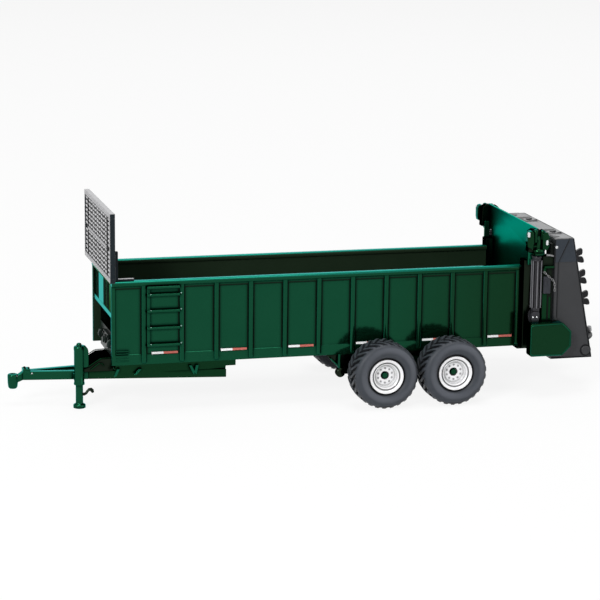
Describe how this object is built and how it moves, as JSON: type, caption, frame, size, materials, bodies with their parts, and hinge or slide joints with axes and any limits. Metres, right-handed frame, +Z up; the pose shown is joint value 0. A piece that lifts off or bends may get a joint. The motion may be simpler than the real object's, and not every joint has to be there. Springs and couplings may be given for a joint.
{
  "type": "scale model manure spreader",
  "caption": "Die-cast scale model of a tandem-axle manure spreader: ribbed open box, mesh front screen, drawbar with jack, lifting rear gate and two upright spreading beaters.",
  "frame": {"origin": "on the floor, under the middle of the whole model", "axes": "+X to the rear, +Z up, the side with the ladder and jack at -Y"},
  "size_m": [0.1947, 0.0642, 0.0654],
  "materials": {
    "green_paint": "glossy dark green enamel on die-cast zinc",
    "charcoal": "satin charcoal moulded plastic",
    "beater_charcoal": "satin charcoal moulded plastic",
    "apron_dark": "dark moulded slats and chain",
    "tyre": "soft dark grey rubber",
    "rim_paint": "pale silver paint",
    "steel": "bright steel rod and wire",
    "cylinder_black": "dark grey gloss",
    "gearbox_grey": "dark grey-green satin"
  },
  "bodies": {
    "chassis": {"apron": "apron_dark", "bogie_cross_tube": "green_paint", "chassis_rail_left": "green_paint", "chassis_rail_right": "green_paint", "cross_members": "green_paint", "cylinder_left": "cylinder_black", "cylinder_right": "cylinder_black", "drive_cover_left": "green_paint", "drive_cover_right": "green_paint", "floor_sheet": "green_paint", "front_hood": "green_paint", "front_wall": "green_paint", "gearbox": "gearbox_grey", "hanger_left": "green_paint", "hanger_right": "green_paint", "housing_side_left": "charcoal", "housing_side_right": "charcoal", "jack_tube": "green_paint", "ladder": "green_paint", "pan": "beater_charcoal", "rear_post_left": "green_paint", "rear_post_right": "green_paint", "rear_sill": "green_paint", "screen": "charcoal", "screen_brackets": "charcoal", "side_left": "green_paint", "side_right": "green_paint", "tongue_beam_left": "green_paint", "tongue_beam_right": "green_paint", "top_beam": "charcoal", "tow_eye": "green_paint", "walking_beam_left": "green_paint", "walking_beam_right": "green_paint"},
    "wheel_front_left": {"tyre_front_left": "tyre", "rim_front_left": "rim_paint"},
    "wheel_front_right": {"tyre_front_right": "tyre", "rim_front_right": "rim_paint"},
    "wheel_rear_left": {"tyre_rear_left": "tyre", "rim_rear_left": "rim_paint"},
    "wheel_rear_right": {"tyre_rear_right": "tyre", "rim_rear_right": "rim_paint"},
    "gate": {"gate_head_left": "green_paint", "gate_head_right": "green_paint", "gate_plate": "green_paint", "gate_rod_left": "steel", "gate_rod_right": "steel"},
    "beater_left": {"beater_left": "beater_charcoal"},
    "beater_right": {"beater_right": "beater_charcoal"},
    "jack_leg": {"jack_leg": "green_paint", "jack_pin": "steel"}
  },
  "joints": [
    {"name": "wheel_front_left_turn", "type": "hinge", "parent": "chassis", "child": "wheel_front_left", "pos_m": [0.01955, -0.0266, 0.01085], "axis": [0, 1, 0], "continuous": true},
    {"name": "wheel_front_right_turn", "type": "hinge", "parent": "chassis", "child": "wheel_front_right", "pos_m": [0.01955, 0.0266, 0.01085], "axis": [0, 1, 0], "continuous": true},
    {"name": "wheel_rear_left_turn", "type": "hinge", "parent": "chassis", "child": "wheel_rear_left", "pos_m": [0.04265, -0.0266, 0.01085], "axis": [0, 1, 0], "continuous": true},
    {"name": "wheel_rear_right_turn", "type": "hinge", "parent": "chassis", "child": "wheel_rear_right", "pos_m": [0.04265, 0.0266, 0.01085], "axis": [0, 1, 0], "continuous": true},
    {"name": "gate_slide", "type": "slide", "parent": "chassis", "child": "gate", "axis": [0, 0, 1], "range_m": [0, 0.014]},
    {"name": "beater_left_turn", "type": "hinge", "parent": "chassis", "child": "beater_left", "pos_m": [0.0886, -0.0116, 0.0132], "axis": [-0.1719, 0, 0.9851], "continuous": true},
    {"name": "beater_right_turn", "type": "hinge", "parent": "chassis", "child": "beater_right", "pos_m": [0.0886, 0.0116, 0.0132], "axis": [-0.1719, 0, 0.9851], "continuous": true},
    {"name": "jack_slide", "type": "slide", "parent": "chassis", "child": "jack_leg", "axis": [0, 0, 1], "range_m": [0, 0.0016]}
  ]
}
